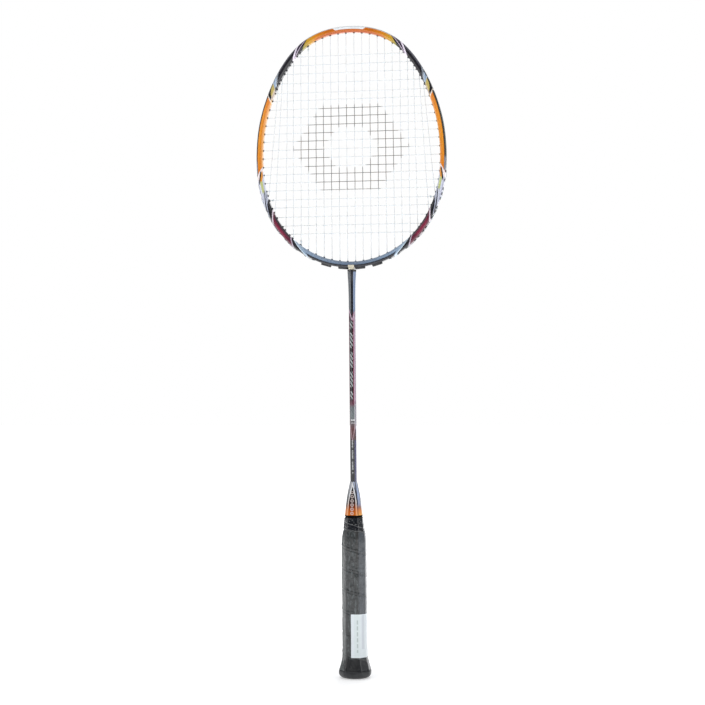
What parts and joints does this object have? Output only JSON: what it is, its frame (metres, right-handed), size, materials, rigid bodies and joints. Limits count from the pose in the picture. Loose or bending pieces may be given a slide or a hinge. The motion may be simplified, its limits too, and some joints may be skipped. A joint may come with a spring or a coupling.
{
  "type": "badminton racket",
  "caption": "Strung badminton racket: hollow oval head with woven string bed and nylon grommets, slim tubular shaft, faceted handle cone and wrapped octagonal grip with flared butt cap",
  "frame": {"origin": "centre of the butt cap's flat end face", "axes": "+Z along the handle and shaft towards the head, +X across the head, +Y normal to the string bed; the front of the racket faces -Y"},
  "size_m": [0.2005, 0.0302, 0.675],
  "materials": {
    "frame_paint": "gloss lacquer over carbon fibre composite, banded orange, silver, black, wine red and steel blue",
    "joint_black": "black lacquered composite",
    "shaft_paint": "gloss dark navy lacquer over carbon fibre composite with wine red and silver bands",
    "cone_paint": "gloss moulded plastic, silver fading to orange over black",
    "core_wood": "bare turned hardwood",
    "cap_plastic": "satin moulded plastic",
    "staple_steel": "plated steel wire",
    "grip_polyurethane": "slate grey polyurethane wrap with a slight gloss",
    "tape_film": "glossy dark vinyl tape",
    "label_paper": "blank pale coated paper",
    "grommet_nylon": "moulded black nylon",
    "string_nylon": "white braided nylon monofilament"
  },
  "bodies": {
    "root": {"head_frame": "frame_paint", "t_joint": "joint_black", "shaft": "shaft_paint", "handle_cone": "cone_paint", "handle_core": "core_wood", "butt_cap": "cap_plastic", "cap_staples": "staple_steel", "grip": "grip_polyurethane", "finishing_tape": "tape_film", "label_sticker": "label_paper", "grommets_single": "grommet_nylon", "grommets_tie_off": "grommet_nylon", "throat_grommets": "grommet_nylon", "main_string": "string_nylon", "cross_string": "string_nylon"}
  },
  "joints": []
}
